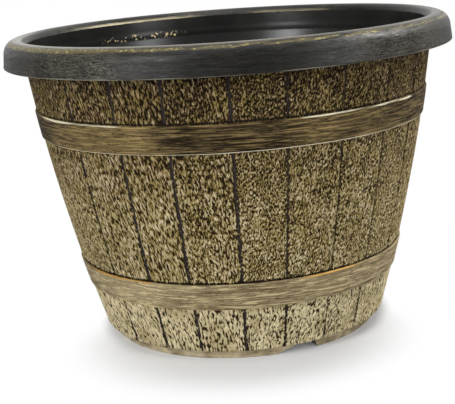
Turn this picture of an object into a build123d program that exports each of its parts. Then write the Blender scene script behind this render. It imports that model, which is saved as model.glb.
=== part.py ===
from build123d import *
import math
import os

# Half barrel planter in millimetres and degrees. It stands on z = 0 with its axis on Z.
# The front is towards -Y, and angles round the pot are counted from there towards +X.

# Whole pot
height = 226.0
wall_thickness = 2.8

# Rim: a rolled lip with a deep band that hangs outside the wall
rim_diameter = 330.0
rim_drop = 19.8
rim_thickness = 2.6
crown_inset = 11.0
band_lean = 1.0
lip_width = 7.0
mouth_drop = 4.6
band_edge_radius = 0.8
bead_drop = 17.0
bead_radius = 1.2
bead_proud = 0.9

# Ribs that brace the band inside the rim's channel
rim_ribs = 12
rim_rib_thickness = 2.0
rim_rib_depth = 9.0

# Wall: a barrel curve from under the rim down to the foot
wall_top_inset = 15.6
wall_bottom_diameter = 214.0
wall_bow = 4.0
wall_corner_radius = 2.5
floor_corner_radius = 6.0

# Staves: their widths round half the pot, as angles, and the grooves between them
stave_widths = (16.0, 14.5, 17.0, 14.5, 16.0, 15.5, 14.5, 14.0, 15.0, 14.0, 15.0, 14.0)
stave_start = -47.8
groove_width = 3.2
groove_depth = 1.2

# Hoops: drop of each hoop's upper edge below the crown
hoop_drops = (51.9, 164.9)
hoop_width = 19.8
hoop_proud = 1.4
hoop_edge_radius = 0.9
hoop_root = 1.6

# Foot ring and the notches that let water out from under the pot
foot_height = 7.0
foot_inset = 6.5
foot_width = 10.0
foot_draft = 1.6
notch_count = 3
notch_angle = 21.0
notch_length = 30.0
notch_height = 6.0
notch_ramp = 15.0
notch_step = 2.0

# Floor, its drain holes and the ribs below it
floor_thickness = 3.0
drain_count = 4
drain_angle = 45.0
drain_inset = 22.1
drain_diameter = 12.0
seat_diameter = 25.0
seat_depth = 1.0
boss_diameter = 22.0
boss_height = 2.4
floor_ribs = 8
floor_rib_thickness = 2.0
floor_rib_height = 2.4
hub_diameter = 30.0

# Drain plug: a soft push-in plug, pulled out upwards by its grip
plug_clearance = 0.05
flange_diameter = 22.0
flange_thickness = 1.8
flange_edge_radius = 0.7
shank_core_inset = 0.7
seal_count = 3
seal_width = 1.0
shank_overhang = 1.6
shank_chamfer = 0.8
grip_length = 13.0
grip_thickness = 3.4
grip_height = 7.0
grip_end_radius = 3.0

# Levels and radii that follow from the sizes above
front = -90.0
rim_radius = rim_diameter / 2
crown_radius = rim_radius - crown_inset
mouth_radius = crown_radius - lip_width
shoulder_radius = crown_inset - band_lean
band_foot_level = height - rim_drop
shoulder_level = height - shoulder_radius
mouth_level = height - mouth_drop
wall_top_radius = rim_radius - wall_top_inset
wall_bottom_radius = wall_bottom_diameter / 2
floor_level = foot_height + floor_thickness
foot_radius = wall_bottom_radius - foot_inset
foot_top_radius = foot_radius + foot_draft
foot_inner_radius = foot_top_radius - foot_width
drain_radius = drain_diameter / 2
drain_circle_radius = foot_inner_radius - drain_inset
seat_level = floor_level - seat_depth
boss_level = foot_height - boss_height

# The wall's outer face is one arc through its two ends, bowed outwards at the middle
wall_chord = math.hypot(wall_top_radius - wall_bottom_radius, band_foot_level - foot_height)
wall_curve_radius = wall_chord**2 / (8 * wall_bow) + wall_bow / 2
wall_lean = math.atan2(wall_top_radius - wall_bottom_radius, band_foot_level - foot_height)
wall_curve_offset = wall_curve_radius - wall_bow
wall_curve_centre = (
    (wall_top_radius + wall_bottom_radius) / 2 - wall_curve_offset * math.cos(wall_lean),
    (band_foot_level + foot_height) / 2 + wall_curve_offset * math.sin(wall_lean),
)


def wall_radius(level, inset=0.0):
    """Radius of the wall's outer face at a level, or of the face that lies an inset inside it."""
    rise = level - wall_curve_centre[1]
    return wall_curve_centre[0] + math.sqrt((wall_curve_radius - inset) ** 2 - rise**2)


def wall_point(level, inset=0.0):
    """Point of the half section on the wall's outer face, or an inset inside it."""
    return (wall_radius(level, inset), level)


def nearest(points, place):
    """The vertex of a sketch that lies nearest to a place of the half section."""
    return points.sort_by_distance(Vector(place[0], place[1], 0))[0]


# Corners of the pot's half section
floor_corner = wall_point(floor_level, wall_thickness)
wall_foot = wall_point(foot_height)
wall_head = wall_point(band_foot_level)
wall_head_inner = wall_point(band_foot_level, wall_thickness)
band_foot = (rim_radius, band_foot_level)
channel_radius = shoulder_radius - rim_thickness

# The bead inside the mouth, on the face between the mouth's edge and the wall
bead_level = height - bead_drop
bead_share = (mouth_level - bead_level) / (mouth_level - band_foot_level)
bead_face_radius = mouth_radius + bead_share * (wall_head_inner[0] - mouth_radius)

# Angles of the grooves round the whole pot
groove_angles = []
groove_angle = stave_start
for width in stave_widths * 2:
    groove_angles.append(groove_angle)
    groove_angle += width

# A groove follows the wall's curve from under the foot corner to inside the rim's channel
with BuildPart() as stave_groove:
    with BuildSketch(Plane.XZ):
        with BuildLine():
            groove_foot = wall_point(foot_height, groove_depth)
            groove_head = wall_point(band_foot_level, groove_depth)
            groove_outside = wall_top_radius + groove_depth
            Polyline(
                groove_foot,
                (groove_foot[0], foot_height - groove_depth),
                (groove_outside, foot_height - groove_depth),
                (groove_outside, band_foot_level + groove_depth),
                (groove_head[0], band_foot_level + groove_depth),
                groove_head,
            )
            ThreePointArc(
                groove_head,
                wall_point((foot_height + band_foot_level) / 2, groove_depth),
                groove_foot,
            )
        make_face()
    extrude(amount=groove_width / 2, both=True)

# A hoop is a flat band with rounded edges, rooted in the wall
hoops = []
for drop in hoop_drops:
    upper = height - drop
    lower = upper - hoop_width
    with BuildPart() as hoop:
        with BuildSketch(Plane.XZ) as band:
            with BuildLine():
                Polyline(
                    wall_point(lower, hoop_root),
                    wall_point(lower, -hoop_proud),
                    wall_point(upper, -hoop_proud),
                    wall_point(upper, hoop_root),
                    close=True,
                )
            make_face()
            fillet(nearest(band.vertices(), wall_point(lower, -hoop_proud)), hoop_edge_radius)
            fillet(nearest(band.vertices(), wall_point(upper, -hoop_proud)), hoop_edge_radius)
        revolve(axis=Axis.Z)
    hoops.append(hoop.part)

# A notch in the foot ring ramps up from one end and drops in a step at the other
with BuildPart() as foot_notch:
    with BuildSketch(Plane.YZ.offset(foot_radius - 2 * foot_width)):
        with BuildLine():
            Polyline(
                (-notch_length / 2, 0),
                (-notch_length / 2 + notch_ramp, notch_height),
                (notch_length / 2 - notch_step, notch_height),
                (notch_length / 2, 0),
                close=True,
            )
        make_face()
    extrude(amount=2 * foot_width + foot_draft + wall_corner_radius)
foot_notches = [
    foot_notch.part.rotate(Axis.Z, front + notch_angle + turn * 360 / notch_count)
    for turn in range(notch_count)
]

# Pot: one moulding of foot, floor, wall and rim, with its staves and hoops moulded on
with BuildPart() as planter_shell:
    with BuildSketch(Plane.XZ) as half_section:
        with BuildLine():
            Polyline(
                (0, floor_level),
                (0, foot_height),
                (foot_inner_radius, foot_height),
                (foot_inner_radius, 0),
                (foot_radius, 0),
                (foot_top_radius, foot_height),
                wall_foot,
            )
            ThreePointArc(wall_foot, wall_point((foot_height + band_foot_level) / 2), wall_head)
            Polyline(
                wall_head,
                (mouth_radius + rim_thickness, mouth_level),
                (crown_radius, height - rim_thickness),
            )
            CenterArc((crown_radius, shoulder_level), channel_radius, 90, -90)
            Polyline(
                (crown_radius + channel_radius, shoulder_level),
                (rim_radius - rim_thickness, band_foot_level),
                band_foot,
                (crown_radius + shoulder_radius, shoulder_level),
            )
            CenterArc((crown_radius, shoulder_level), shoulder_radius, 0, 90)
            TangentArc((crown_radius, height), (mouth_radius, mouth_level), tangent=(-1, 0))
            Line((mouth_radius, mouth_level), wall_head_inner)
            ThreePointArc(
                wall_head_inner,
                wall_point((floor_level + band_foot_level) / 2, wall_thickness),
                floor_corner,
            )
            Line(floor_corner, (0, floor_level))
        make_face()
        fillet(nearest(half_section.vertices(), floor_corner), floor_corner_radius)
        fillet(nearest(half_section.vertices(), wall_foot), wall_corner_radius)
        fillet(nearest(half_section.vertices(), band_foot), band_edge_radius)
    revolve(axis=Axis.Z)

    # Grooves between the staves, then the hoops that bridge them
    add([stave_groove.part.rotate(Axis.Z, front + angle) for angle in groove_angles], mode=Mode.SUBTRACT)
    add(hoops)

    # Bead inside the mouth
    with BuildSketch(Plane.XZ):
        with Locations((bead_face_radius + bead_radius - bead_proud, bead_level)):
            Circle(bead_radius)
    revolve(axis=Axis.Z)

    # Ribs inside the rim's channel
    with BuildSketch(Plane.XZ) as rib_section:
        with BuildLine():
            Polyline(
                (mouth_radius + rim_thickness / 2, shoulder_level - rim_rib_depth),
                (mouth_radius + rim_thickness / 2, mouth_level),
                (crown_radius, height - rim_thickness / 2),
            )
            CenterArc((crown_radius, shoulder_level), channel_radius + rim_thickness / 2, 90, -90)
            Polyline(
                (crown_radius + channel_radius + rim_thickness / 2, shoulder_level),
                (mouth_radius + rim_thickness / 2, shoulder_level - rim_rib_depth),
            )
        make_face()
    rim_rib = extrude(amount=rim_rib_thickness / 2, both=True, mode=Mode.PRIVATE)
    rib_step = 360 / rim_ribs
    add([rim_rib.rotate(Axis.Z, (turn + 0.5) * rib_step) for turn in range(rim_ribs)])

    # Ribs and hub below the floor, and a boss round each drain hole
    with BuildSketch(Plane.XY.offset(foot_height + floor_thickness / 2)):
        Circle(hub_diameter / 2)
        with PolarLocations(foot_top_radius / 2, floor_ribs, start_angle=360 / floor_ribs / 2):
            Rectangle(foot_inner_radius, floor_rib_thickness)
    extrude(amount=-floor_rib_height - floor_thickness / 2)
    with BuildSketch(Plane.XY.offset(foot_height + floor_thickness / 2)):
        with PolarLocations(drain_circle_radius, drain_count, start_angle=drain_angle):
            Circle(boss_diameter / 2)
    extrude(amount=-boss_height - floor_thickness / 2)
    with BuildSketch(Plane.XY.offset(floor_level)):
        with PolarLocations(drain_circle_radius, drain_count, start_angle=drain_angle):
            Circle(seat_diameter / 2)
    extrude(amount=-seat_depth, mode=Mode.SUBTRACT)
    with BuildSketch(Plane.XY.offset(floor_level)):
        with PolarLocations(drain_circle_radius, drain_count, start_angle=drain_angle):
            Circle(drain_radius)
    extrude(amount=boss_level - floor_level, mode=Mode.SUBTRACT)

    # Notches in the foot ring
    add(foot_notches, mode=Mode.SUBTRACT)

# Drain plug, made at the origin with the underside of its flange on z = 0
shank_radius = drain_radius - plug_clearance
shank_length = seat_level - boss_level + shank_overhang
seal_pitch = shank_length / (seal_count + 1)
with BuildPart() as drain_plug:
    with BuildSketch():
        Circle(flange_diameter / 2)
    extrude(amount=flange_thickness)
    fillet(drain_plug.edges().group_by(Axis.Z)[-1], flange_edge_radius)
    with BuildSketch():
        Circle(shank_radius - shank_core_inset)
    extrude(amount=-shank_length)
    chamfer(drain_plug.edges().group_by(Axis.Z)[0], shank_chamfer)
    for seal in range(seal_count):
        with BuildSketch(Plane.XY.offset(-(seal + 0.5) * seal_pitch)):
            Circle(shank_radius)
        extrude(amount=seal_width / 2, both=True)
    with BuildSketch(Plane.XZ) as grip_face:
        with Locations((0, flange_thickness / 2 + grip_height / 2)):
            Rectangle(grip_length, grip_height + flange_thickness)
        fillet(grip_face.vertices().group_by(Axis.Y)[-1], grip_end_radius)
    extrude(amount=grip_thickness / 2, both=True)

os.makedirs("parts", exist_ok=True)
planter_shell.part.label = "planter_shell"
export_step(planter_shell.part, "parts/planter_shell.step")

plug_places = PolarLocations(drain_circle_radius, drain_count, start_angle=drain_angle)
for number, place in enumerate(plug_places.locations, start=1):
    plug = drain_plug.part.moved(Location((0, 0, seat_level)) * place)
    plug.label = f"drain_plug_{number}"
    export_step(plug, f"parts/{plug.label}.step")
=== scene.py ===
import math

import bpy
import numpy as np
from mathutils import Matrix, Vector
from mathutils.geometry import delaunay_2d_cdt


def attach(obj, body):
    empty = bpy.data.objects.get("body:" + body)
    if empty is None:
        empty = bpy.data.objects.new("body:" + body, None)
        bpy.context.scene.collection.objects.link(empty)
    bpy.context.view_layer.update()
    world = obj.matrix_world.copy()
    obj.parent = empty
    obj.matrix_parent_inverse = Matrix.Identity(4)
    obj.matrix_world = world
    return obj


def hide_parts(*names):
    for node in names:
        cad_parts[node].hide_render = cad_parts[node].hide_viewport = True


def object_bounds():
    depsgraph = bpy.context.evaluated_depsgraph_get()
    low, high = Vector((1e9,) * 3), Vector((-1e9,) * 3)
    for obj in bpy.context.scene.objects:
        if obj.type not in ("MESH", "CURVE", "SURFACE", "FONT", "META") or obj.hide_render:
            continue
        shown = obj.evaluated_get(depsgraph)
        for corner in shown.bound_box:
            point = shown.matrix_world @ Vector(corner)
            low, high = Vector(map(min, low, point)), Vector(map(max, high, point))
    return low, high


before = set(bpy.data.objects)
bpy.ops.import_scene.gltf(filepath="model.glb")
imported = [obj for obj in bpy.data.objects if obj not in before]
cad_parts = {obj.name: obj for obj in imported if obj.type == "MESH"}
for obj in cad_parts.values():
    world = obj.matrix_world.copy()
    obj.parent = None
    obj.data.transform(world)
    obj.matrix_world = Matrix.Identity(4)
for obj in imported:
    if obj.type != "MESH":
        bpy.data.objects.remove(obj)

# Half barrel planter: a moulded pot with a rough wood grain, painted with a dry brush in antique gold.
# Sizes are millimetres and degrees, and each mesh is turned into metres as it is made.
# Angles round the pot are counted from the front, which is towards -Y, towards +X.
MM = 0.001
cad_low, cad_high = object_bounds()

# Whole pot and rim
height = (cad_high.z - cad_low.z) / MM
rim_radius = (cad_high.x - cad_low.x) / MM / 2
wall_thickness = 2.8
rim_drop = 19.8
rim_thickness = 2.6
crown_inset = 11.0
band_lean = 1.0
lip_width = 7.0
mouth_drop = 4.6
band_edge_radius = 0.8
bead_drop = 17.0
bead_proud = 0.12
bead_spread = 4.0
rim_ribs = 12
rim_rib_thickness = 2.0
rim_rib_depth = 9.0

# Wall, hoops and staves
wall_top_inset = 15.6
wall_bottom_radius = 107.0
wall_bow = 4.0
wall_corner_radius = 2.5
floor_corner_radius = 6.0
stave_widths = (16.0, 14.5, 17.0, 14.5, 16.0, 15.5, 14.5, 14.0, 15.0, 14.0, 15.0, 14.0)
stave_start = -47.8
groove_width = 3.2
groove_depth = 1.2
hoop_drops = (51.9, 164.9)
hoop_width = 19.8
hoop_proud = 1.4
hoop_edge_radius = 0.9

# Foot, floor and drains
foot_height = 7.0
foot_inset = 6.5
foot_width = 10.0
foot_draft = 1.6
notch_count = 3
notch_angle = 21.0
notch_length = 30.0
notch_height = 6.0
notch_ramp = 15.0
notch_step = 2.0
floor_thickness = 3.0
drain_count = 4
drain_angle = 45.0
drain_inset = 22.1
drain_radius = 6.0
seat_radius = 12.5
seat_depth = 1.0
boss_radius = 11.0
boss_height = 2.4
floor_ribs = 8
floor_rib_thickness = 2.0
floor_rib_height = 2.4
hub_radius = 15.0

# Levels and radii that follow from the sizes above
crown_radius = rim_radius - crown_inset
mouth_radius = crown_radius - lip_width
shoulder_radius = crown_inset - band_lean
shoulder_level = height - shoulder_radius
band_foot_level = height - rim_drop
mouth_level = height - mouth_drop
channel_radius = shoulder_radius - rim_thickness
wall_top_radius = rim_radius - wall_top_inset
bead_level = height - bead_drop
foot_radius = wall_bottom_radius - foot_inset
foot_top_radius = foot_radius + foot_draft
foot_inner_radius = foot_top_radius - foot_width
floor_level = foot_height + floor_thickness
seat_level = floor_level - seat_depth
boss_level = foot_height - boss_height
drain_circle_radius = foot_inner_radius - drain_inset

# The wall's outer face is one arc through its two ends, bowed outwards at the middle
wall_rise = band_foot_level - foot_height
wall_spread = wall_top_radius - wall_bottom_radius
wall_curve_radius = math.hypot(wall_rise, wall_spread) ** 2 / (8 * wall_bow) + wall_bow / 2
wall_lean = math.atan2(wall_spread, wall_rise)
wall_curve_reach = wall_curve_radius - wall_bow
wall_curve_centre = (
    (wall_top_radius + wall_bottom_radius) / 2 - wall_curve_reach * math.cos(wall_lean),
    (band_foot_level + foot_height) / 2 + wall_curve_reach * math.sin(wall_lean))


def wall_radius(level, inset=0.0):
    """Radius of the wall's outer face at a level, or of the face that lies an inset inside it."""
    rise = level - wall_curve_centre[1]
    return wall_curve_centre[0] + np.sqrt((wall_curve_radius - inset) ** 2 - rise**2)


# Curves of the pot's half section, as rows of radius and level

def straight(start, end, count):
    """Points along a straight line, without its end."""
    share = np.arange(count)[:, None] / count
    return np.array(start) + (np.array(end) - np.array(start)) * share


def bend(centre, radius, start, end, count):
    """Points along an arc, without its end, from one angle of the half section to another."""
    turn = np.radians(start + (end - start) * np.arange(count) / count)
    return np.column_stack((centre[0] + radius * np.cos(turn), centre[1] + radius * np.sin(turn)))


# Steps and noise, which shape the surfaces and the marks kept on them

def smooth_step(low, high, value):
    """0 below low, 1 above high and a smooth rise between; low may be the larger one."""
    share = np.clip((value - low) / (high - low), 0.0, 1.0)
    return share * share * (3.0 - 2.0 * share)


def window(value, start, full, fading, gone):
    """0 up to start, a smooth rise to 1 at full, and a smooth fall from fading to 0 at gone."""
    return smooth_step(start, full, value) * smooth_step(gone, fading, value)


def grid_noise(across, along, seed):
    """Smooth noise between about -1 and 1 whose bumps are one unit apart."""
    size = 128
    turn = np.random.RandomState(seed).uniform(0.0, 2.0 * np.pi, (size, size))
    column, row = np.floor(across).astype(int), np.floor(along).astype(int)
    x, y = across - column, along - row
    ease_x, ease_y = (part**3 * (part * (6 * part - 15) + 10) for part in (x, y))

    def corner(step_x, step_y):
        angle = turn[(row + step_y) % size, (column + step_x) % size]
        return np.cos(angle) * (x - step_x) + np.sin(angle) * (y - step_y)

    lower = corner(0, 0) * (1 - ease_x) + corner(1, 0) * ease_x
    upper = corner(0, 1) * (1 - ease_x) + corner(1, 1) * ease_x
    gain = 1.4
    return (lower * (1 - ease_y) + upper * ease_y) * gain


# Meshes: grids round the pot's axis, with a map for their colours

def skin(name, radius, level, angle, wrap, strips, marks):
    """A mesh over a grid of radius, level and angle whose front lies to the left of its rows.

    The bake map lays the grid out in strips side by side. Marks are values kept on the vertices.
    """
    rows, columns = radius.shape
    turn = np.radians(angle)
    points = np.stack((radius * np.sin(turn), -radius * np.cos(turn), level), axis=-1) * MM
    last = columns if wrap else columns - 1
    low_row, left = (part.ravel() for part in np.mgrid[0 : rows - 1, 0:last])
    right = (left + 1) % columns
    quads = np.stack(
        (low_row * columns + left, low_row * columns + right,
         (low_row + 1) * columns + right, (low_row + 1) * columns + left), axis=1)
    mesh = bpy.data.meshes.new(name)
    mesh.vertices.add(rows * columns)
    mesh.vertices.foreach_set("co", points.astype(np.float32).ravel())
    mesh.loops.add(quads.size)
    mesh.loops.foreach_set("vertex_index", quads.ravel())
    mesh.polygons.add(len(quads))
    mesh.polygons.foreach_set("loop_start", np.arange(0, quads.size, 4))
    lay_out(mesh, low_row, left, rows - 1, last, strips)
    for mark, values in marks.items():
        layer = mesh.attributes.new(mark, "FLOAT", "POINT")
        layer.data.foreach_set("value", values.astype(np.float32).ravel())
    return finished(name, mesh)


def lay_out(mesh, low_row, left, rows, columns, strips):
    """Gives a grid the map that its colours are baked to, its longer way cut into strips."""
    margin = 0.02
    long_way = columns >= rows
    place, length = (left, columns) if long_way else (low_row, rows)
    other, width = (low_row, rows) if long_way else (left, columns)
    per_strip = -(-length // strips)
    strip = place // per_strip
    corners = np.array(((0, 0), (1, 0), (1, 1), (0, 1)))
    step, side = (corners[:, 0], corners[:, 1]) if long_way else (corners[:, 1], corners[:, 0])
    along = ((place % per_strip)[:, None] + step) / per_strip
    across = (other[:, None] + side) / width
    across = (strip[:, None] + margin + across * (1 - 2 * margin)) / strips
    along = margin / strips + along * (1 - 2 * margin / strips)
    pair = (along, across) if long_way else (across, along)
    uv = mesh.uv_layers.new(name="OFBake")
    uv.data.foreach_set("uv", np.stack(pair, axis=-1).astype(np.float32).ravel())


def linked(name, data):
    """A new object in the scene for a mesh, a light or a camera."""
    thing = bpy.data.objects.new(name, data)
    bpy.context.collection.objects.link(thing)
    return thing


def finished(name, mesh, smooth=True):
    """Finishes a mesh and puts it in the scene."""
    mesh.update(calc_edges=True)
    mesh.validate()
    mesh.polygons.foreach_set("use_smooth", [smooth] * len(mesh.polygons))
    return linked(name, mesh)


def turned(name, profile, columns, strips, push=None, marks=None):
    """A surface turned round the pot's axis from a half section.

    Push gives how far each point stands off along the surface, from its angle and its row.
    """
    rows = len(profile)
    angle = np.tile(np.arange(columns) * 360.0 / columns - 180.0, (rows, 1))
    radius = np.tile(profile[:, :1], (1, columns))
    level = np.tile(profile[:, 1:], (1, columns))
    values = {mark: np.broadcast_to(rule(angle, level, radius), angle.shape)
              for mark, rule in (marks or {}).items()}
    if push is not None:
        way = np.gradient(profile, axis=0)
        way /= np.linalg.norm(way, axis=1)[:, None]
        stand_off = push(angle, level, radius)
        radius = radius + stand_off * way[:, 1:]
        level = level - stand_off * way[:, :1]
    return skin(name, radius, level, angle, wrap=True, strips=strips, marks=values)


def round_noise(angle, across, length, width, seed):
    """Noise that runs round the pot without a seam, in patches of a given length and width."""
    cells = max(1, round(2 * math.pi * crown_radius / length))
    place = (angle + 180.0) / 360.0 * cells
    share = np.clip((place - cells * 0.9) / (cells * 0.1), 0.0, 1.0)
    first = grid_noise(place, across / width, seed)
    again = grid_noise(place - cells, across / width, seed)
    return first * (1 - share) + again * share


# Staves: each board of the barrel has its own grain, cut by pits that run along it
grain_pitch = 0.6
pit_depth = 0.5
slant_at_side = 0.34
slant_spread = 0.05
lean_wander = 1.3
board_wave = 0.14
tuck_in = 2.0
# How many times bolder the grain is below the lower hoop
low_band_boldness = 1.8
# How strongly the groove at the start of each stave shows, from 0 to 1
groove_strengths = (0.75, 1.0, 1.0, 0.85, 0.6, 0.45, 0.4, 0.7, 0.9, 0.6, 0.8, 1.0,
                    0.9, 0.7, 1.0, 0.8, 0.6, 0.9, 1.0, 0.7, 0.85, 0.6, 0.7, 0.35)
# How thickly each stave is brushed with gold, from 0 to 1
stave_cover = (0.7, 0.6, 0.45, 0.5, 0.65, 0.65, 0.6, 0.45, 0.7, 0.5, 0.4, 0.6,
               0.6, 0.7, 0.45, 0.65, 0.5, 0.4, 0.7, 0.6, 0.45, 0.7, 0.6, 0.6)
# How long and bold the pits of each stave are, from 0 to 1
pit_boldness = (0.9, 1.0, 0.55, 0.35, 0.3, 0.25, 0.3, 0.5, 0.8, 0.4, 0.6, 0.9,
                0.5, 0.3, 0.7, 0.9, 0.4, 0.6, 0.8, 0.5, 0.3, 0.6, 0.5, 0.7)


def stave_levels():
    """Levels of a stave's rows, close together where the grain shows and far apart under a hoop."""
    overlap, hidden_pitch = 1.2, 3.0
    edges = [foot_height + wall_corner_radius]
    for drop in reversed(hoop_drops):
        edges += [height - drop - hoop_width + overlap, height - drop - overlap]
    edges.append(band_foot_level + tuck_in)
    pitches = (grain_pitch, hidden_pitch) * len(hoop_drops) + (grain_pitch,)
    runs = [np.linspace(low, high, max(2, round((high - low) / pitch)), endpoint=False)
            for low, high, pitch in zip(edges, edges[1:], pitches)]
    return np.append(np.concatenate(runs), edges[-1])


def pits(lean, across, along, bold, seed):
    """How high the grain stands at each point, in spreads of its own: low where a pit is."""
    width, length = 0.9 + 0.35 * bold, 1.6 + 3.2 * bold
    grain = grid_noise(lean / width, along / length, seed)
    short = grid_noise(lean / (0.8 * width), along / (0.45 * length), seed + 2)
    lines = grid_noise(lean / 2.6, along / 30.0, seed + 3)
    patches = grid_noise(across / 11.0, along / 16.0, seed + 4)
    total = grain + (0.75 - 0.3 * bold) * short + (0.4 - 0.2 * bold) * lines + 0.15 * patches
    spread = 0.42
    return total / spread


def grooves(angle, level, face, start, width, number):
    """How far each point lies in the grooves at a stave's two sides, from 0 to 1."""
    left, right = groove_strengths[number - 1], groove_strengths[number % len(groove_strengths)]
    nearer_left = angle - start < width / 2
    strength = np.where(nearer_left, left, right)
    away = np.radians(np.minimum(angle - start, start + width - angle)) * face
    wave_left, wave_right = (grid_noise(level * 0 + 0.5, level / 9.0, 50 + side)
                             for side in (number, number + 1))
    uneven = np.where(nearer_left, wave_left, wave_right)
    half = groove_width / 2 * (0.22 + 0.46 * strength) * (1 + 0.35 * uneven)
    return smooth_step(half + 0.45, half - 0.35, away) * (0.35 + 0.65 * strength)


def make_stave(number, start, width):
    """One stave with half of the groove on each side of it."""
    chance = np.random.RandomState(300 + number)
    columns = max(24, round(math.radians(width) * wall_top_radius / grain_pitch))
    level, share = np.meshgrid(stave_levels(), np.linspace(0.0, 1.0, columns + 1), indexing="ij")
    angle = start + share * width
    face = wall_radius(np.minimum(level, band_foot_level))
    middle = start + width / 2
    across = np.radians(angle - middle) * face
    below_hoops = level < height - hoop_drops[1] - hoop_width / 2
    bold = np.minimum(pit_boldness[number - 1] * np.where(below_hoops, low_band_boldness, 1.0), 1.0)
    slant = -slant_at_side * math.sin(math.radians(middle)) + chance.uniform(-slant_spread, slant_spread)
    lean = across + slant * level + lean_wander * grid_noise(across / 9.0, level / 15.0, 70 + number)
    relief = pits(lean, across, level, bold, 1000 + 10 * number) * (0.5 + 0.6 * bold)
    groove = grooves(angle, level, face, start, width, number)
    pitted = smooth_step(0.5, -1.2, relief)
    board = board_wave * (grid_noise(across / 16.0, level / 45.0, 90 + number) - 0.5)
    sink = groove * groove_depth
    radius = face - sink - pit_depth * pitted * (1 - 0.6 * groove) + board * (1 - groove)
    rises = [level - height + drop for drop in hoop_drops]
    above_hoop = np.min([np.where(rise > 0, rise, 9.0) for rise in rises], axis=0)
    corner_rows = 5
    corner = bend((wall_radius(foot_height + wall_corner_radius) - wall_corner_radius,
                   foot_height + wall_corner_radius), wall_corner_radius, -90, 0, corner_rows)
    corner = np.repeat(corner[:, :, None], columns + 1, axis=2)
    radius = np.vstack((corner[:, 0] - sink[:1] * np.linspace(0.0, 1.0, corner_rows)[:, None], radius))
    level = np.vstack((corner[:, 1], level))

    def stretched(values):
        return np.vstack((np.repeat(values[:1], corner_rows, axis=0), values))

    # The crevice mark lies just above each hoop. It keeps gold out of that crevice, and the dark there is
    # partly bare plastic, partly painted shade.
    marks = {"relief": stretched(relief), "groove": stretched(groove), "lean": stretched(lean),
             "unpainted_shaded_crevice": stretched(smooth_step(1.8, 0.8, above_hoop)),
             "board": np.full_like(radius, stave_cover[number - 1]), "bold": stretched(bold)}
    return skin(f"stave_{number:02d}", radius, level, stretched(angle), wrap=False, strips=2, marks=marks)


staves = []
stave_angle = stave_start
for number, width in enumerate(stave_widths * 2, start=1):
    staves.append(make_stave(number, stave_angle, width))
    stave_angle += width


# Hoops: flat bands with rounded edges and a streaked, hand-worked face

def hoop_profile(upper):
    """A hoop's half section, from the wall below it, over its face, to the wall above it."""
    lower = upper - hoop_width
    sunk_in = 0.6
    low_root, high_root = (float(wall_radius(level, sunk_in)) for level in (lower, upper))
    face_levels = np.linspace(lower + hoop_edge_radius, upper - hoop_edge_radius, 34)
    face = np.column_stack((wall_radius(face_levels, -hoop_proud), face_levels))
    low_corner, high_corner = (face[end] - (hoop_edge_radius, 0) for end in (0, -1))
    return np.vstack((
        straight((low_root, lower), (low_corner[0], lower), 3),
        bend(low_corner, hoop_edge_radius, -90, 0, 6),
        face,
        bend(high_corner, hoop_edge_radius, 0, 90, 6)[1:],
        straight((high_corner[0], upper), (high_root, upper), 3),
        [(high_root, upper)],
    ))


def hoop_streaks(seed):
    """The shallow ridges along a hoop's face, as a rule for how far it stands off."""
    def push(angle, level, radius):
        ridges = round_noise(angle, level, 46.0, 1.5, seed)
        fine = round_noise(angle, level, 21.0, 0.8, seed + 1)
        dents = round_noise(angle, level, 30.0, 14.0, seed + 2)
        return 0.16 * ridges + 0.1 * fine + 0.1 * dents - 0.26
    return push


def brushing_and_painted_sheen(angle, level, radius):
    """How thickly gold lies along a hoop, from 0 to 1: brushing that varies at the back, and a painted
    sheen at the front left and the right.
    """
    front = window(angle, -66, -44, -28, -10)
    right = 0.55 * window(angle, 8, 22, 38, 54)
    back = smooth_step(70, 95, np.abs(angle)) * (0.5 + 0.3 * round_noise(angle, level, 90.0, 80.0, 43))
    return np.max((front, right, back), axis=0)


def hoop_marks(upper):
    """The rules for what is kept on a hoop: its pale edges, partly rubbed paint and partly painted
    highlight, and its gold, partly brushing and partly painted sheen.
    """
    # The top edge is painted pale, most at the front left and the right: partly rubbed paint, partly a
    # painted highlight on the rounded edge.
    def top_edge_wear_and_highlight(angle, level, radius):
        left = window(angle, -80, -55, -35, -22)
        right = 0.8 * window(angle, 12, 22, 55, 70)
        return smooth_step(2.6, 0.9, upper - level) * np.maximum(0.2, np.maximum(left, right))

    # The lower edge is painted pale all round: partly rubbed paint, partly a painted highlight from the
    # light off the floor.
    def low_edge(angle, level, radius):
        return smooth_step(1.2, 0.1, level - upper + hoop_width)

    return {"top_edge_wear_and_highlight": top_edge_wear_and_highlight, "low_edge": low_edge, "brushing_and_painted_sheen": brushing_and_painted_sheen}


hoops = []
for name, drop, seed in zip(("upper_hoop", "lower_hoop"), hoop_drops, (41, 61)):
    upper = height - drop
    hoops.append(turned(name, hoop_profile(upper), columns=900, strips=7,
                        push=hoop_streaks(seed), marks=hoop_marks(upper)))


# Rim: the rolled lip, its hanging band and the ribbed channel behind it

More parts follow.
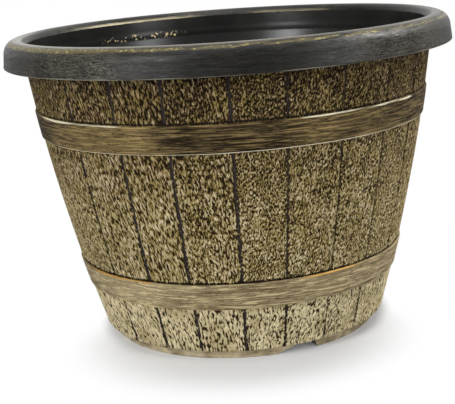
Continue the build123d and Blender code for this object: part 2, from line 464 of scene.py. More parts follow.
lip_curve = (lip_width**2 + mouth_drop**2) / (2 * mouth_drop)
lip_end = math.degrees(math.atan2(mouth_level - height + lip_curve, -lip_width))
wall_head = (wall_top_radius, band_foot_level)
lip_underside = (mouth_radius + rim_thickness, mouth_level)
shoulder_centre = (crown_radius, shoulder_level)
band_inner, band_outer = rim_radius - rim_thickness, rim_radius - band_edge_radius
band_edge_level = band_foot_level + band_edge_radius
rim_profile = np.vstack((
    straight((wall_top_radius - 0.4, band_foot_level - tuck_in), wall_head, 2),
    straight(wall_head, lip_underside, 6),
    straight(lip_underside, (crown_radius, height - rim_thickness), 3),
    bend(shoulder_centre, channel_radius, 90, 0, 10),
    straight((crown_radius + channel_radius, shoulder_level), (band_inner, band_foot_level), 4),
    straight((band_inner, band_foot_level), (band_outer, band_foot_level), 3),
    bend((band_outer, band_edge_level), band_edge_radius, -90, 0, 5),
    straight((rim_radius, band_edge_level), (crown_radius + shoulder_radius, shoulder_level), 14),
    bend(shoulder_centre, shoulder_radius, 0, 90, 16),
    bend((crown_radius, height - lip_curve), lip_curve, 90, lip_end, 10),
    [(mouth_radius, mouth_level)],
))


def rim_scratches(angle, level, radius):
    """Fine scratches along the rim's outer face, none deeper than a hair."""
    outside = smooth_step(crown_radius, crown_radius + 6.0, radius)
    return -0.05 * outside * (1 + round_noise(angle, level, 26.0, 0.9, 81))


def crown_wear_and_highlight(angle, level, radius):
    """1 on the top of the lip, less at the far side and more at the left: partly wear, partly a painted
    highlight.
    """
    top = window(radius - crown_radius, -4.5, -2.5, 2.0, 5.0)
    near = smooth_step(115, 95, np.abs(angle)) * (1 - 0.5 * smooth_step(10, 30, angle))
    left = 1 + 0.35 * window(angle, -120, -95, -45, -25)
    return top * (0.08 + 0.92 * near) * left * smooth_step(height - 4, height - 2, level)


def below_crown(angle, level, radius):
    """1 on a band that runs round the shoulder below the crown, boldest at the left."""
    band = smooth_step(1.9, 0.6, np.abs(radius - crown_radius - 5.8))
    bold = 0.35 + 0.65 * window(angle, -120, -80, -45, -20)
    return band * bold * smooth_step(height - 9, height - 5, level)


def mouth_edge(angle, level, radius):
    """1 on the mouth's edge where the far side of the lip is worn to gold."""
    left = window(angle, -174, -160, -138, -118)
    right = 0.45 * window(angle, 140, 150, 166, 176)
    on_edge = smooth_step(1.3, 0.3, radius - mouth_radius) * smooth_step(1.5, 0.5, mouth_level - level)
    return on_edge * np.maximum(left, right)


def scuffed(angle, level, radius):
    """How worn the rim's outer face is, from 0 to 1: most at the front left."""
    front = 0.5 * window(angle, -66, -44, -30, -12)
    right = 0.45 * window(angle, 25, 35, 50, 75)
    back = smooth_step(100, 120, np.abs(angle)) * (0.2 + 0.35 * round_noise(angle, level, 70.0, 60.0, 83))
    return np.max((front, right, back), axis=0) + 0.06


def band_foot(angle, level, radius):
    """1 on the lower edge of the rim's hanging band."""
    return smooth_step(1.6, 0.3, level - band_foot_level) * smooth_step(2.0, 1.0, rim_radius - radius)


rim = turned("rim", rim_profile, columns=960, strips=9, push=rim_scratches, marks={
    "crown": crown_wear_and_highlight, "gold_line": below_crown, "mouth_edge": mouth_edge, "band_foot": band_foot,
    "scuffed": scuffed})

rib_inner, rib_arch = mouth_radius + rim_thickness / 2, channel_radius + rim_thickness / 2
rib_section = np.vstack((
    straight((rib_inner, shoulder_level - rim_rib_depth), (rib_inner, mouth_level), 1),
    straight((rib_inner, mouth_level), (crown_radius, height - rim_thickness / 2), 1),
    bend(shoulder_centre, rib_arch, 90, 0, 10),
    [(crown_radius + rib_arch, shoulder_level)],
))


def flat_sided(name, points, faces):
    """A piece with flat faces, from its points and the numbers of each face's corners."""
    mesh = bpy.data.meshes.new(name)
    mesh.from_pydata([(x * MM, y * MM, z * MM) for x, y, z in points], [], faces)
    return finished(name, mesh, smooth=False)


def ring_faces(first, after, count):
    """The faces between two rings of points, each given by the number of its first point."""
    return [(first + i, first + (i + 1) % count, after + (i + 1) % count, after + i)
            for i in range(count)]


def plates(name, outline, turns, thickness):
    """Upright plates that point at the pot's axis, all of one outline of the half section."""
    points, faces, count = [], [], len(outline)
    for turn in np.radians(turns):
        out = Vector((math.sin(turn), -math.cos(turn), 0))
        half = Vector((math.cos(turn), math.sin(turn), 0)) * thickness / 2
        middle = [out * float(radius) + Vector((0, 0, float(level))) for radius, level in outline]
        first = len(points)
        points += [point - half for point in middle] + [point + half for point in middle]
        faces.append([first + i for i in reversed(range(count))])
        faces.append([first + count + i for i in range(count)])
        faces += ring_faces(first, first + count, count)
    return flat_sided(name, points, faces)


rib_turns = [(turn + 0.5) * 360 / rim_ribs for turn in range(rim_ribs)]
rim_rib_set = plates("rim_ribs", rib_section, rib_turns, rim_rib_thickness)


# Inside: a bead below the mouth, the smooth wall and the corner round to the floor

inner_head = float(wall_radius(band_foot_level, wall_thickness))
corner_level = floor_level + floor_corner_radius
corner_centre = (float(wall_radius(corner_level, wall_thickness + floor_corner_radius)), corner_level)
corner_turn = math.degrees(math.atan2(corner_level - wall_curve_centre[1],
                                      corner_centre[0] - wall_curve_centre[0]))


def inner_radius(level):
    """Radius of the inside face at a level, with the soft bead below the mouth."""
    share = np.clip((mouth_level - level) / (mouth_level - band_foot_level), 0.0, 1.0)
    face = mouth_radius + share * (inner_head - mouth_radius)
    wall = wall_radius(np.minimum(level, band_foot_level), wall_thickness)
    face = np.where(level < band_foot_level, wall, face)
    return face - bead_proud * smooth_step(bead_spread, 0.0, np.abs(level - bead_level))


def overspray(angle, level, radius):
    """1 where specks of gold paint landed on the bead, at the far left inside."""
    left = window(angle, -167, -160, -142, -134)
    return left * smooth_step(3.0, 1.0, np.abs(level - bead_level))


wall_start = corner_level + floor_corner_radius * math.sin(math.radians(corner_turn))
bead_top, bead_end = bead_level + bead_spread, bead_level - bead_spread
inside_spans = ((mouth_level, bead_top, 6), (bead_top, bead_end, 24), (bead_end, wall_start, 64))
inside_levels = np.concatenate([np.linspace(*span, endpoint=False) for span in inside_spans])
inside_profile = np.vstack((
    np.column_stack((inner_radius(inside_levels), inside_levels)),
    bend(corner_centre, floor_corner_radius, corner_turn, -90, 8),
    [(corner_centre[0], floor_level)],
))
inside = turned("inside_wall", inside_profile, columns=480, strips=4, marks={"overspray": overspray})


def circle(centre, radius, count):
    """Points of a circle, as corners of a flat outline."""
    turn = np.arange(count) * 2 * np.pi / count
    return [Vector((centre[0] + radius * math.cos(a), centre[1] + radius * math.sin(a))) for a in turn]


drain_turns = [math.radians(drain_angle + turn * 360 / drain_count) for turn in range(drain_count)]
drain_places = [(drain_circle_radius * math.cos(turn), drain_circle_radius * math.sin(turn))
                for turn in drain_turns]


def holed_disc(name, radius, level, hole_radius, facing_up):
    """A flat disc with the drains' holes left out."""
    outlines = [circle((0, 0), radius, 480)] + [circle(place, hole_radius, 64) for place in drain_places]
    points, edges = [], []
    for outline in outlines:
        first = len(points)
        points += outline
        edges += [(first + i, first + (i + 1) % len(outline)) for i in range(len(outline))]
    corners, _, faces, *_ = delaunay_2d_cdt(points, edges, [], 0, 1e-5)

    def kept(face):
        centre = sum((corners[i] for i in face), Vector((0, 0))) / len(face)
        return all((centre - Vector(place)).length > hole_radius * 0.98 for place in drain_places)

    faces = [face if facing_up else face[::-1] for face in faces if kept(face)]
    return flat_sided(name, [(corner.x, corner.y, level) for corner in corners], faces)


floor_top = holed_disc("floor_top", corner_centre[0], floor_level, seat_radius, True)
floor_under = holed_disc("floor_underside", foot_inner_radius, foot_height, boss_radius, False)

seat_profile = np.array((
    (boss_radius, foot_height), (boss_radius, boss_level), (drain_radius, boss_level),
    (drain_radius, seat_level), (seat_radius, seat_level), (seat_radius, floor_level)))[::-1]


def drain_seat(number, place):
    """The sunk seat, the hole and the boss of one drain."""
    columns = 64
    points = [(corner.x, corner.y, level)
              for radius, level in seat_profile for corner in circle(place, radius, columns)]
    faces = [face for first in range(0, len(points) - columns, columns)
             for face in ring_faces(first, first + columns, columns)]
    return flat_sided(f"drain_seat_{number}", points, faces)


drain_seats = [drain_seat(number, place) for number, place in enumerate(drain_places, start=1)]
rib_foot, rib_root = foot_height - floor_rib_height, foot_height + 1.0
hub_chamfer = 0.4
hub_profile = np.array(((0.01, rib_foot), (hub_radius - hub_chamfer, rib_foot),
                        (hub_radius, rib_foot + hub_chamfer), (hub_radius, rib_root)))
hub = turned("floor_hub", hub_profile, columns=96, strips=1)
rib_start, rib_end = 6.0, foot_inner_radius + 2.0
floor_rib_outline = ((rib_start, rib_root), (rib_start, rib_foot), (rib_end, rib_foot), (rib_end, rib_root))
floor_rib_turns = [90 + (turn + 0.5) * 360 / floor_ribs for turn in range(floor_ribs)]
floor_rib_set = plates("floor_ribs", floor_rib_outline, floor_rib_turns, floor_rib_thickness)


# Foot ring, cut by notches that ramp up from one end and drop in a step at the other

def notch_level(radius, angle):
    """Height of the foot's underside, which is 0 apart from the notches."""
    level = np.zeros_like(angle)
    for turn in range(notch_count):
        away = np.radians(angle - notch_angle - turn * 360 / notch_count)
        along = np.where(np.cos(away) > 0, radius * np.sin(away), 1e6) + notch_length / 2
        rise = np.minimum(along / notch_ramp, (notch_length - along) / notch_step)
        level = np.maximum(level, notch_height * np.clip(rise, 0.0, 1.0))
    return level


def make_foot():
    """The ring that the pot stands on, from the top of its inner side to the wall's corner."""
    columns = 1800
    angle = np.arange(columns) * 360.0 / columns
    corner = float(wall_radius(foot_height + wall_corner_radius)) - wall_corner_radius
    outer, inner = notch_level(foot_radius, angle), notch_level(foot_inner_radius, angle)
    outer_edge = foot_radius + foot_draft * outer / foot_height
    soften = 0.5
    rows = ((foot_inner_radius, foot_height), (foot_inner_radius, inner), (outer_edge - soften, outer),
            (outer_edge, outer + soften), (foot_top_radius, foot_height), (corner, foot_height))
    radius, level = (np.array([np.broadcast_to(row[part], columns) for row in rows]) for part in (0, 1))
    on_face = np.repeat(np.array((0, 0, 0, 1, 1, 0.3))[:, None], columns, axis=1)
    on_face[1] = 0.5 * np.clip(inner / notch_height, 0.0, 1.0)
    on_face[2] = np.clip(outer / notch_height, 0.0, 1.0)
    marks = {"outer_face": on_face}
    angle = np.tile(angle, (len(rows), 1))
    return skin("foot_ring", radius, level, angle, wrap=True, strips=6, marks=marks)


foot = make_foot()


# Node helpers: they add nodes to one tree and hand back the socket that the next one reads

class Nodes:
    """Builds one node tree, for a material, a group or the room.

    Its here, where it has one, is the surface point's place in millimetres, and its shader holds
    the inputs of a material's shader.
    """

    def __init__(self, tree):
        self.tree = tree

    def feed(self, socket, value):
        """Links a socket to an input, or sets the input to a plain value."""
        if isinstance(value, bpy.types.NodeSocket):
            self.tree.links.new(value, socket)
        else:
            socket.default_value = value

    def feed_named(self, sockets, values):
        """Feeds sockets by name; an underscore in a name stands for a space."""
        for key, value in values.items():
            self.feed(sockets[key.replace("_", " ")], value)

    def finish(self, **looks):
        self.feed_named(self.shader, looks)

    def bump(self, rise, distance, strength):
        """Feeds a height to the shader's normal, with its distance in millimetres."""
        node = self.add("ShaderNodeBump", (("Strength", strength), ("Distance", distance * MM),
                                           ("Height", rise)))
        self.finish(Normal=node.outputs[0])

    def add(self, kind, inputs=(), **settings):
        """A node with its settings and inputs; inputs are pairs of a name or number and a value."""
        node = self.tree.nodes.new(kind)
        for setting, value in settings.items():
            setattr(node, setting, value)
        for key, value in inputs:
            self.feed(node.inputs[key], value)
        return node

    def math(self, operation, *values):
        return self.add("ShaderNodeMath", enumerate(values), operation=operation).outputs[0]

    def times(self, product, *others):
        """Two or more values multiplied."""
        for other in others:
            product = self.math("MULTIPLY", product, other)
        return product

    def weighted(self, total, *parts):
        """A start value and parts added to it, each given as a value and its weight."""
        for value, weight in parts:
            total = self.math("MULTIPLY_ADD", value, weight, total)
        return total

    def vector(self, operation, *values):
        node = self.add("ShaderNodeVectorMath", enumerate(values), operation=operation)
        return node.outputs["Value" if operation == "LENGTH" else "Vector"]

    def scaled(self, vector, factor):
        node = self.add("ShaderNodeVectorMath", ((0, vector), ("Scale", factor)), operation="SCALE")
        return node.outputs["Vector"]

    def combined(self, *parts):
        return self.add("ShaderNodeCombineXYZ", enumerate(parts)).outputs[0]

    def parts(self):
        """The three parts of the point's place."""
        return self.add("ShaderNodeSeparateXYZ", ((0, self.here),)).outputs

    def mix(self, share, first, second):
        """A colour between two colours."""
        node = self.add("ShaderNodeMix", (("Factor", share), (6, first), (7, second)), data_type="RGBA")
        return node.outputs[2]

    def blend(self, share, first, second):
        """A number between two numbers."""
        node = self.add("ShaderNodeMix", (("Factor", share), (2, first), (3, second)), data_type="FLOAT")
        return node.outputs[0]

    def layered(self, base, *coats):
        """A colour under coats laid one over the other, each given as its share and its colour."""
        for share, coat in coats:
            base = self.mix(share, base, coat)
        return base

    def span(self, value, low, high, to_low=0.0, to_high=1.0):
        """A smooth step of a value from one range to another."""
        return self.add("ShaderNodeMapRange", enumerate((value, low, high, to_low, to_high)),
                        interpolation_type="SMOOTHSTEP").outputs[0]

    def noise(self, place, scale, detail=2.0, roughness=0.5, distortion=0.0):
        node = self.add("ShaderNodeTexNoise", (("Vector", place), ("Scale", scale), ("Detail", detail),
                                               ("Roughness", roughness), ("Distortion", distortion)))
        return node.outputs[0]

    def mark(self, name):
        """A value that the mesh keeps on its vertices."""
        return self.add("ShaderNodeAttribute", attribute_name=name).outputs["Fac"]

    def group(self, group, **values):
        """A shared group that reads the point's place and the values named."""
        node = self.add("ShaderNodeGroup", (("Place", self.here),), node_tree=group)
        self.feed_named(node.inputs, values)
        return node.outputs

    def streaks(self, length, width, break_up):
        return self.group(long_streaks, Length=length, Width=width, Break_up=break_up)

    def patches(self, size, contrast):
        return self.group(cloudy_patches, Size=size, Contrast=contrast)["Patches"]

    def specks(self, size, amount):
        return self.group(flecks, Size=size, Amount=amount)["Flecks"]

    def edge_line(self, edge, run, amount):
        return self.group(edge_wear_and_highlight, Edge=edge, Run=run, Amount=amount)["Edge_mark"]

    def seen(self, rays):
        """1 for rays of the camera, which may have passed through something clear."""
        return self.math("MAXIMUM", rays["Is Camera Ray"], rays["Is Transmission Ray"])

    def glow(self, strength):
        """White light that a surface gives off."""
        node = self.add("ShaderNodeEmission", (("Color", (1.0, 1.0, 1.0, 1.0)), ("Strength", strength)))
        return node.outputs[0]

    def shaders(self, share, first, second):
        """A finish between two finishes."""
        return self.add("ShaderNodeMixShader", ((0, share), (1, first), (2, second))).outputs[0]


def new_group(name, inputs, outputs):
    """Nodes for a shared group that reads a place and named numbers, which have defaults."""
    group = bpy.data.node_groups.new(name, "ShaderNodeTree")
    group.interface.new_socket("Place", in_out="INPUT", socket_type="NodeSocketVector")
    for key, value in inputs.items():
        socket = group.interface.new_socket(key, in_out="INPUT", socket_type="NodeSocketFloat")
        socket.default_value = value
    for key in outputs:
        group.interface.new_socket(key, in_out="OUTPUT", socket_type="NodeSocketFloat")
    nodes = Nodes(group)
    start = nodes.add("NodeGroupInput").outputs
    nodes.here = start["Place"]
    return nodes, start, nodes.add("NodeGroupOutput").inputs


def streaks_group():
    """Brush strokes and scratches that run round the pot: long one way, thin the other."""
    nodes, start, end = new_group("long_streaks", {"Length": 40.0, "Width": 1.5, "Break up": 0.5},
                                  ("Streaks", "Fine", "Lines"))
    east, north, upright = nodes.parts()
    flat = nodes.combined(east, north)
    usual_radius = 140.0
    around = nodes.scaled(nodes.vector("NORMALIZE", flat),
                          nodes.math("DIVIDE", usual_radius, start["Length"]))
    depth = nodes.math("DIVIDE", nodes.vector("LENGTH", flat), start["Width"])
    across = nodes.combined(depth, depth, nodes.math("DIVIDE", upright, start["Width"]))
    spot = nodes.vector("ADD", around, across)
    wide = nodes.noise(spot, 1.0, 3.0, start["Break up"], 0.25)
    thin = nodes.noise(nodes.vector("MULTIPLY", spot, (1.7, 1.7, 2.6)), 1.0, 2.0, 0.6)
    nearness = nodes.math("ABSOLUTE", nodes.math("SUBTRACT", wide, 0.5))
    nodes.feed(end["Streaks"], nodes.span(wide, 0.3, 0.7))
    nodes.feed(end["Fine"], nodes.span(thin, 0.32, 0.68))
    nodes.feed(end["Lines"], nodes.span(nearness, 0.035, 0.0))
    return nodes.tree


def patches_group():
    """Cloudy patches where paint or handling lies thicker."""
    nodes, start, end = new_group("cloudy_patches", {"Size": 30.0, "Contrast": 0.2}, ("Patches",))
    cloud = nodes.noise(nodes.here, nodes.math("DIVIDE", 1.0, start["Size"]), 3.0, 0.55, 0.3)
    low, high = (nodes.math(way, 0.5, start["Contrast"]) for way in ("SUBTRACT", "ADD"))
    nodes.feed(end["Patches"], nodes.span(cloud, low, high))
    return nodes.tree


def flecks_group():
    """Small scattered flecks, such as overspray or specks of dust."""
    nodes, start, end = new_group("flecks", {"Size": 1.5, "Amount": 0.3}, ("Flecks",))
    near = nodes.noise(nodes.here, nodes.math("DIVIDE", 1.0, start["Size"]), 2.0, 0.6, 0.4)
    edge = nodes.weighted(0.78, (start["Amount"], -0.4))
    nodes.feed(end["Flecks"], nodes.span(near, edge, nodes.math("ADD", edge, 0.05)))
    return nodes.tree


def rub_group():
    """A mark along an edge, broken up so that it comes and goes: paint and wear, and on the hoops' edges
    also a painted highlight.
    """
    nodes, start, end = new_group("edge_wear_and_highlight", {"Edge": 0.0, "Run": 18.0, "Amount": 0.7}, ("Edge_mark",))
    streak = nodes.streaks(start["Run"], 4.0, 0.5)["Streaks"]
    grown = nodes.weighted(start["Edge"], (streak, 0.5))
    low, high = (nodes.math("SUBTRACT", level, start["Amount"]) for level in (1.4, 1.7))
    nodes.feed(end["Edge_mark"], nodes.times(nodes.span(grown, low, high), nodes.span(start["Edge"], 0.0, 0.35)))
    return nodes.tree


long_streaks = streaks_group()
cloudy_patches = patches_group()
flecks = flecks_group()
edge_wear_and_highlight = rub_group()


def colour(red, green, blue):
    """A colour given as it looks on a screen, 0 to 255, for a shader."""
    return tuple(((c / 255) / 12.92) if c <= 10 else (((c / 255) + 0.055) / 1.055) ** 2.4
                 for c in (red, green, blue)) + (1.0,)


def new_material(name):
    """A material and the helper that adds nodes to it."""
    material = bpy.data.materials.new(name)
    material.use_nodes = True
    nodes = Nodes(material.node_tree)
    nodes.here = nodes.scaled(nodes.add("ShaderNodeTexCoord").outputs["Object"], 1 / MM)
    nodes.shader = material.node_tree.nodes["Principled BSDF"].inputs
    return material, nodes


# The warm, dusty shine of the painted staves and hoops
warm_sheen = {"Specular_Tint": colour(255, 238, 208), "Sheen_Roughness": 0.25,
              "Sheen_Tint": colour(220, 202, 168)}


def grain_material():
    """Staves: near-black plastic whose raised grain is painted with a dry brush in antique gold."""
    material, nodes = new_material("brushed_gold_grain")
    relief, groove, board, bold, unpainted_shaded_crevice, lean = map(
        nodes.mark, ("relief", "groove", "board", "bold", "unpainted_shaded_crevice", "lean"))
    level = nodes.parts()[2]
    # Low and lowest rise towards the foot. Up high the gold is thinner and every colour darker, low down
    # the gold is thicker and paler: partly the paint itself, partly painted shade under the rim and painted
    # light from the white floor.
    low, lowest = nodes.span(level, 205.0, 90.0), nodes.span(level, 75.0, 30.0)
    grain_place = nodes.combined(nodes.math("DIVIDE", lean, 0.78),
                                 nodes.math("DIVIDE", level, nodes.blend(bold, 1.2, 3.2)),
                                 nodes.times(board, 50.0))
    fine = nodes.math("SUBTRACT", nodes.noise(grain_place, 1.0, 1.5, 0.6, 0.3), 0.5)
    fine_share = nodes.weighted(nodes.blend(bold, 11.0, 7.5), (lowest, -3.0))
    raised = nodes.weighted(relief, (fine, fine_share))
    cover = nodes.weighted(-0.9, (low, 0.55), (lowest, 0.12), (nodes.patches(24.0, 0.25), 0.4),
                           (board, 0.8), (bold, 0.2))
    # Gold is kept out of the grooves and out of the crevice above each hoop, which darkens that crevice as
    # painted shade.
    painted = nodes.weighted(nodes.math("ADD", raised, cover), (groove, -2.1), (unpainted_shaded_crevice, -2.2))
    gold, thick = nodes.span(painted, -0.28, 0.25), nodes.span(painted, 0.2, 2.4)
    # The colours below run from up high to low down, darker to paler, with that painted shade and light in
    # them.
    dark_gold = nodes.mix(low, colour(94, 71, 36), colour(150, 127, 68))
    pale_gold = nodes.mix(low, colour(184, 164, 128), colour(234, 220, 184))
    tint = nodes.span(nodes.noise(nodes.here, 0.08), 0.42, 0.66, 0.0, 0.42)
    paint = nodes.layered(
        nodes.mix(thick, dark_gold, pale_gold),
        (nodes.times(nodes.weighted(0.5, (thick, 0.5)), lowest), colour(255, 240, 198)),
        (tint, colour(150, 132, 66)))
    bare = nodes.layered(
        nodes.mix(low, colour(18, 10, 3), colour(34, 22, 6)),
        (nodes.times(lowest, 0.6), colour(48, 32, 10)),
        # The bare grooves are a lighter grey than the pits: a painted reflection on their smooth floors.
        (groove, colour(47, 43, 43)),
        # The crevice above each hoop is painted dark: painted shade.
        (unpainted_shaded_crevice, colour(24, 18, 12)))
    nodes.finish(Base_Color=nodes.mix(gold, bare, paint), Metallic=nodes.times(gold, 0.35),
                 Roughness=nodes.blend(gold, 0.75, nodes.blend(thick, 0.5, 0.38)),
                 Specular_IOR_Level=0.25, Sheen_Weight=0.2, **warm_sheen)
    nodes.bump(raised, 0.12, 0.8)
    return material


def hoop_material():
    """Hoops: streaked antique gold, cut by thin dark lines, and pale along their edges with rubbed paint
    and a painted highlight.
    """
    material, nodes = new_material("streaked_hoop_gold")
    # Low rises towards the foot: the lower hoop's colours are paler and the upper hoop's darker, as on the
    # staves, partly painted light from the floor and painted shade under the rim.
    low = nodes.span(nodes.parts()[2], 150.0, 70.0)
    broad, thin = nodes.streaks(44.0, 2.8, 0.6), nodes.streaks(20.0, 1.0, 0.65)
    cut = nodes.times(thin["Lines"], nodes.blend(low, 0.95, 0.7))
    # The brushing-and-sheen mark makes the gold paler at the front left and the right: a painted sheen.
    amount = nodes.weighted(
        nodes.blend(low, -0.35, -0.07), (thin["Streaks"], 0.75), (broad["Streaks"], 0.25),
        (nodes.patches(30.0, 0.2), 0.12), (nodes.mark("brushing_and_painted_sheen"), nodes.blend(low, 0.5, 0.12)),
        (cut, -0.8))
    amount = nodes.math("MAXIMUM", nodes.math("MINIMUM", amount, 1.0), 0.0)
    # The pale top edge: rubbed paint and a painted highlight.
    top = nodes.times(nodes.edge_line(nodes.mark("top_edge_wear_and_highlight"), 38.0, 0.5), 0.9)
    # The pale lower edge, strongest on the upper hoop: rubbed paint and a painted highlight.
    low_edge_wear_and_highlight = nodes.times(nodes.edge_line(nodes.mark("low_edge"), 60.0, 0.8),
                            nodes.weighted(1.0, (low, -0.75)), 0.8)
    paint = nodes.layered(
        nodes.mix(low, colour(27, 17, 5), colour(84, 65, 34)),
        (amount, nodes.mix(low, colour(164, 140, 92), colour(234, 215, 168))),
        (nodes.times(cut, 0.7), nodes.mix(low, colour(26, 18, 8), colour(70, 54, 30))),
        (nodes.math("MAXIMUM", top, low_edge_wear_and_highlight),
         nodes.mix(low, colour(255, 246, 214), colour(206, 158, 80))))
    nodes.finish(Base_Color=paint, Metallic=nodes.weighted(0.1, (amount, 0.25)),
                 Roughness=nodes.blend(amount, 0.55, 0.38),
                 Specular_IOR_Level=0.3, Sheen_Weight=0.1, **warm_sheen)
    nodes.bump(amount, 0.25, 0.8)
    return material


def rim_material():
    """Rim: charcoal plastic with fine scratches, pale flecks and worn gold near its top, and a crown
    painted pale, partly as a highlight.
    """
    material, nodes = new_material("scratched_rim_charcoal")
    crown, gold_line, gold_edge, foot_edge, scuff = map(
        nodes.mark, ("crown", "gold_line", "mouth_edge", "band_foot", "scuffed"))
    broad, streak = nodes.streaks(40.0, 2.0, 0.6), nodes.streaks(8.0, 0.6, 0.65)
    scrape = nodes.streaks(5.0, 0.7, 0.7)
    scratch = nodes.times(streak["Fine"], streak["Streaks"])
    worn = nodes.times(scuff, nodes.weighted(0.4, (nodes.patches(38.0, 0.14), 0.6)))
    speck = nodes.specks(2.2, 0.55)
    line = nodes.times(nodes.edge_line(gold_line, 14.0, 1.05), nodes.weighted(0.6, (speck, 0.3)))
    paint = nodes.layered(
        nodes.mix(broad["Streaks"], colour(12, 11, 8), colour(24, 23, 18)),
        (nodes.times(worn, 0.6, scratch), colour(128, 125, 110)),
        (nodes.times(scrape["Lines"], scrape["Fine"], worn), colour(208, 202, 182)),
        (line, nodes.mix(speck, colour(110, 100, 62), colour(164, 150, 98))),
        (nodes.times(nodes.edge_line(foot_edge, 30.0, 0.5), 0.6), colour(150, 146, 128)),
        # The crown's pale grey: partly wear, partly a painted highlight on the lip's top.
        (nodes.times(crown, nodes.weighted(0.12, (streak["Streaks"], 0.3))), colour(186, 178, 154)),
        (nodes.times(gold_edge, nodes.weighted(0.15, (streak["Streaks"], 0.6))), colour(240, 224, 176)))
    nodes.finish(Base_Color=paint, Specular_IOR_Level=0.3,
                 Roughness=nodes.blend(crown, nodes.blend(scratch, 0.27, 0.48), 0.18))
    nodes.bump(nodes.times(scratch, nodes.blend(crown, 1.0, 0.4)), 0.1, 0.7)
    return material


def foot_material():
    """Foot ring: black plastic, dusted with gold on its outer face only, which is painted very pale, partly
    as light off the white floor.
    """
    material, nodes = new_material("gold_dusted_foot")
    patch, streak = nodes.patches(12.0, 0.2), nodes.streaks(14.0, 1.6, 0.6)["Streaks"]
    amount = nodes.weighted(nodes.times(patch, 0.6), (streak, 0.4))
    # The very pale gold of the outer face: partly the paint, partly painted light from the white floor it
    # faces.
    paint = nodes.mix(amount, colour(150, 130, 90), colour(255, 238, 200))
    share = nodes.times(nodes.mark("outer_face"), nodes.span(amount, -0.2, 0.25))
    nodes.finish(Base_Color=nodes.mix(share, colour(30, 30, 29), paint),
                 Metallic=nodes.times(share, 0.25), Roughness=nodes.blend(share, 0.38, 0.48))
    nodes.bump(amount, 0.08, 0.4)
    return material


def inside_material():
    """Inside and underside: smooth black plastic with a little dust and overspray."""
    material, nodes = new_material("smooth_black_inside")
    patch = nodes.patches(45.0, 0.25)
    base = nodes.layered(
        nodes.mix(patch, colour(26, 26, 25), colour(33, 33, 31)),
        (nodes.times(nodes.specks(3.0, 0.1), 0.2), colour(90, 88, 80)),
        (nodes.times(nodes.specks(3.0, 0.54), nodes.mark("overspray")), colour(230, 208, 158)))
    nodes.finish(Base_Color=base, Roughness=nodes.blend(patch, 0.22, 0.3))
    nodes.bump(patch, 0.05, 0.3)
    return material


def rubber_material():
    """Drain plugs: soft matt black rubber with a fine bloom."""
    material, nodes = new_material("black_rubber")
    bloom = nodes.patches(5.0, 0.2)
    nodes.finish(Base_Color=nodes.mix(bloom, colour(28, 28, 28), colour(42, 42, 41)),
                 Roughness=nodes.blend(bloom, 0.6, 0.75))
    nodes.bump(nodes.noise(nodes.here, 2.0), 0.03, 0.4)
    return material


grain, hoop_gold, charcoal = grain_material(), hoop_material(), rim_material()
foot_gold, black, rubber = foot_material(), inside_material(), rubber_material()

dressed = ((staves, grain), (hoops, hoop_gold), ([rim], charcoal), ([foot], foot_gold),
           ([rim_rib_set, inside, floor_top, floor_under, hub, floor_rib_set, *drain_seats], black))
for pieces, material in dressed:
    for piece in pieces:
        piece.data.materials.append(material)
        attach(piece, "pot")
        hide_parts("planter_shell")

for number in range(1, drain_count + 1):
    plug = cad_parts[f"drain_plug_{number}"]
    if plug.data.materials:
        plug.material_slots[0].material = rubber
    else:
        plug.data.materials.append(rubber)


# Floor, light and camera

def white_paper(name, centre, clear_from, clear_at, mirrored):
    """White card that takes a soft shadow near the pot and fades to plain white further out.

    Mirrored is how white it is in the pot's gloss, from 0 to 1. Where it isn't mirrored, a dark
    flag takes its place there. Seen from behind it is clear, so that the pot's underside can be
    looked at.
    """
    material, nodes = new_material(name)
    nodes.finish(Base_Color=(0.77, 0.785, 0.815, 1.0), Roughness=0.9, Specular_IOR_Level=0.1)
    shade_start, shade_end = 101.0, 115.0
    lift, flagged, flag_glow = 0.1, 0.75, 0.06
    away = nodes.vector("SUBTRACT", nodes.here, centre)
    away = nodes.vector("LENGTH", nodes.vector("MULTIPLY", away, (0.9, 1.0, 0.0)))
    from_axis = nodes.vector("LENGTH", nodes.vector("MULTIPLY", nodes.here, (1.0, 1.0, 0.0)))
    cleared = nodes.times(nodes.span(away, clear_from, clear_at),
                          nodes.span(from_axis, shade_start, shade_end))
    rays = nodes.add("ShaderNodeLightPath").outputs
    seen, gloss = nodes.seen(rays), rays["Is Glossy Ray"]
    paper = material.node_tree.nodes["Principled BSDF"].outputs[0]
    lifted = nodes.add("ShaderNodeAddShader", ((0, paper), (1, nodes.glow(nodes.times(seen, lift)))))
    far = nodes.times(nodes.math("MAXIMUM", seen, nodes.times(gloss, mirrored)), cleared)
    front = nodes.shaders(far, lifted.outputs[0], nodes.glow(1.0))
    front = nodes.shaders(nodes.times(gloss, flagged * (1 - mirrored)), front, nodes.glow(flag_glow))
    behind = nodes.add("ShaderNodeNewGeometry").outputs["Backfacing"]
    sheet = nodes.shaders(behind, front, nodes.add("ShaderNodeBsdfTransparent").outputs[0])
    nodes.feed(material.node_tree.nodes["Material Output"].inputs["Surface"], sheet)
    return material


def card(name, corners, material):
    """A flat sheet that belongs to the studio."""
    mesh = bpy.data.meshes.new(name)
    mesh.from_pydata(corners, [], [(0, 1, 2, 3)])
    sheet = finished(name, mesh, smooth=False)
    mesh.materials.append(material)
    return sheet


def make_studio():
    """A white floor that keeps the pot's soft shadow, and a white card behind it."""
    half, back, top, low = 6.0, 2.6, 3.4, -0.1
    floor_paper = white_paper("white_floor", (-2.0, -61.0, 0.0), 62.0, 120.0, mirrored=0.0)
    floor = card("studio_floor", [(-half, -half, 0), (half, -half, 0), (half, half, 0), (-half, half, 0)],
                 floor_paper)
    back_paper = white_paper("white_backdrop", (0.0, 0.0, 0.0), 1.0, 2.0, mirrored=0.8)
    card("studio_backdrop", [(-half, back, top), (-half, back, low), (half, back, low), (half, back, top)],
         back_paper)
    return floor


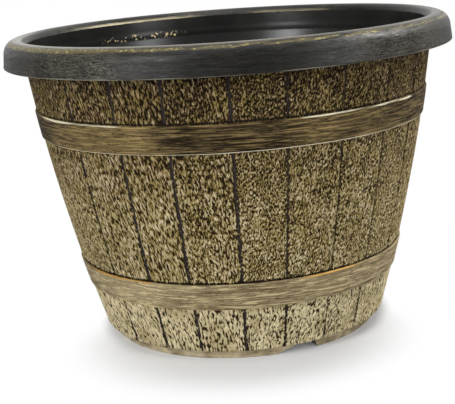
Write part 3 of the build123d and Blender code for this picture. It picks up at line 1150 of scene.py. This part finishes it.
def make_world(strength):
    """A white room: an even soft light, and plain white where the camera sees it."""
    world = bpy.data.worlds.new("white_room")
    bpy.context.scene.world = world
    world.use_nodes = True
    nodes = Nodes(world.node_tree)
    background = world.node_tree.nodes["Background"]
    seen = nodes.seen(nodes.add("ShaderNodeLightPath").outputs)
    nodes.feed(background.inputs["Strength"], nodes.blend(seen, strength, 1.0))
    background.inputs["Color"].default_value = (1.0, 1.0, 1.0, 1.0)


def soft_box(name, place, target, width, depth, power):
    """A rectangular studio light that looks at a point."""
    light = bpy.data.lights.new(name, "AREA")
    light.shape = "RECTANGLE"
    light.size, light.size_y, light.energy = width, depth, power
    lamp = linked(name, light)
    lamp.location = place
    lamp.visible_camera = False
    lamp.rotation_euler = (Vector(target) - Vector(place)).to_track_quat("-Z", "Y").to_euler()
    return lamp


def keep_off(lamp, sheet):
    """Keeps a light off one sheet, so that it lights the pot and throws no second shadow there."""
    spared = bpy.data.collections.new(f"{sheet.name}_without_{lamp.name}")
    spared.objects.link(sheet)
    spared.collection_objects[0].light_linking.link_state = "EXCLUDE"
    lamp.light_linking.receiver_collection = spared


def make_camera():
    """A camera at the photograph's place, tilted and rolled as the photograph is."""
    camera_place = (0.0, -0.84728, 0.29075)
    tilt, yaw, pitch, roll = 4.370, -0.5235, -9.0174, -3.9803
    focal, image_width = 1130.14, 455
    view = Matrix.Translation(camera_place)
    for turn, axis in ((90.0 - tilt, "X"), (-yaw, "Y"), (pitch, "X"), (roll, "Z")):
        view = view @ Matrix.Rotation(math.radians(turn), 4, axis)
    lens = bpy.data.cameras.new("photo_camera")
    lens.sensor_fit, lens.sensor_width = "HORIZONTAL", 36.0
    lens.lens = focal * lens.sensor_width / image_width
    lens.clip_start, lens.clip_end = 0.01, 50.0
    camera = linked(lens.name, lens)
    camera.matrix_world = view
    bpy.context.scene.camera = camera


floor_sheet = make_studio()
make_world(strength=0.28)
soft_box("left_box", (-1.1, -1.27, 0.85), (0, 0, 0.12), 0.5, 0.9, 19.0)
soft_box("right_box", (1.25, -0.95, 0.6), (0, 0, 0.1), 0.5, 1.0, 9.0)
side_box = soft_box("side_box", (1.2, 0.12, 1.3), (0, 0, 0.2), 0.32, 0.32, 20.0)
keep_off(side_box, floor_sheet)
soft_box("top_box", (-0.1, -0.1, 1.8), (0, 0, 0.1), 1.2, 1.2, 10.0)
make_camera()
bpy.context.scene.view_settings.view_transform = "Standard"
